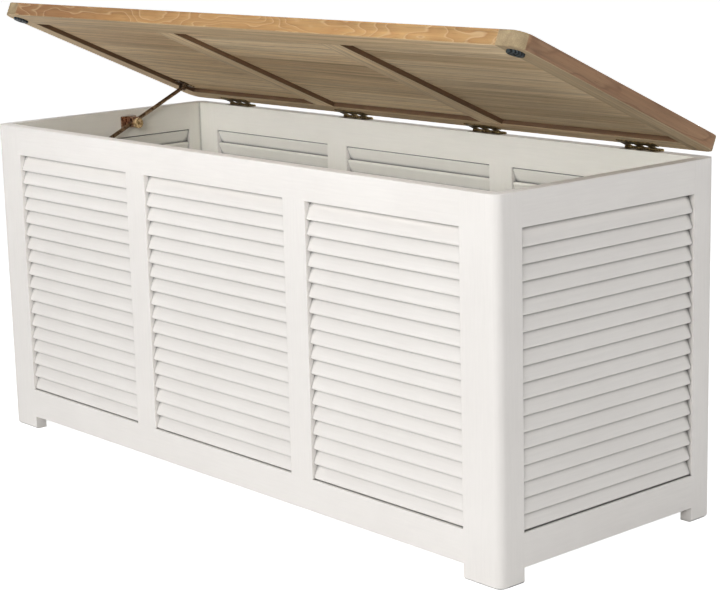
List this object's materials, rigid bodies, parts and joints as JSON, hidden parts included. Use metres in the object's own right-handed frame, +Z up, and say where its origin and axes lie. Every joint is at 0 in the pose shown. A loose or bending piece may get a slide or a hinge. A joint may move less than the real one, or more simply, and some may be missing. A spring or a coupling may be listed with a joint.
{
  "type": "storage bench",
  "caption": "Storage bench: chest with louvred panels standing on short feet, and a hinged frame-and-board seat lid held open by a sliding rod stay.",
  "frame": {"origin": "centre of the chest's footprint on the floor", "axes": "+X to the right seen from the front, along the bench's length; -Y out of the front; +Z up"},
  "size_m": [1.222, 0.4402, 0.7352],
  "materials": {
    "white_paint": "satin white paint on wood",
    "teak": "oiled, lightly weathered teak",
    "bronze": "dark aged brass",
    "rubber": "matte, dimpled"
  },
  "bodies": {
    "box": {"front_left_stile": "white_paint", "front_right_stile": "white_paint", "back_left_stile": "white_paint", "back_right_stile": "white_paint", "left_front_stile": "white_paint", "left_rear_stile": "white_paint", "right_front_stile": "white_paint", "right_rear_stile": "white_paint", "front_top_rail": "white_paint", "front_bottom_rail": "white_paint", "back_top_rail": "white_paint", "back_bottom_rail": "white_paint", "left_top_rail": "white_paint", "left_bottom_rail": "white_paint", "right_top_rail": "white_paint", "right_bottom_rail": "white_paint", "front_left_mullion": "white_paint", "front_right_mullion": "white_paint", "back_left_mullion": "white_paint", "back_right_mullion": "white_paint", "front_left_louvres": "white_paint", "front_middle_louvres": "white_paint", "front_right_louvres": "white_paint", "back_left_louvres": "white_paint", "back_middle_louvres": "white_paint", "back_right_louvres": "white_paint", "left_louvres": "white_paint", "right_louvres": "white_paint", "floor_cleats": "white_paint", "floor_boards": "white_paint", "hinge_box_leaves": "bronze", "hinge_pins": "bronze", "hinge_box_screws": "bronze", "stay_guide": "bronze", "stay_guide_screws": "bronze"},
    "lid": {"lid_front_rail": "teak", "lid_rear_rail": "teak", "lid_left_stile": "teak", "lid_right_stile": "teak", "lid_left_cross_rail": "teak", "lid_right_cross_rail": "teak", "lid_left_panel": "teak", "lid_middle_panel": "teak", "lid_right_panel": "teak", "lid_bumpers": "rubber", "bumper_screws": "bronze", "hinge_lid_leaves": "bronze", "hinge_lid_screws": "bronze", "stay_lid_bracket": "bronze", "stay_bracket_screws": "bronze", "stay_pivot_pin": "bronze"},
    "stay_rod": {"stay_rod": "bronze", "stay_stop_nut": "bronze"},
    "clamp_knob": {"stay_clamp_knob": "bronze"}
  },
  "joints": [
    {"name": "lid_hinge", "type": "hinge", "parent": "box", "child": "lid", "pos_m": [0, 0.217, 0.5312], "axis": [-1, 0, 0], "range_deg": [-24, 36]},
    {"name": "stay_rod_pivot", "type": "hinge", "parent": "lid", "child": "stay_rod", "pos_m": [-0.5635, 0.15072, 0.5618], "axis": [-1, 0, 0], "range_deg": [-45, 30]},
    {"name": "clamp_knob_turn", "type": "hinge", "parent": "box", "child": "clamp_knob", "pos_m": [-0.552, 0.0413, 0.5088], "axis": [1, 0, 0], "range_deg": [-45, 180]}
  ],
  "couplings": [
    {"joint": "stay_rod_pivot", "follows": "lid_hinge", "ratio": -1.25}
  ]
}
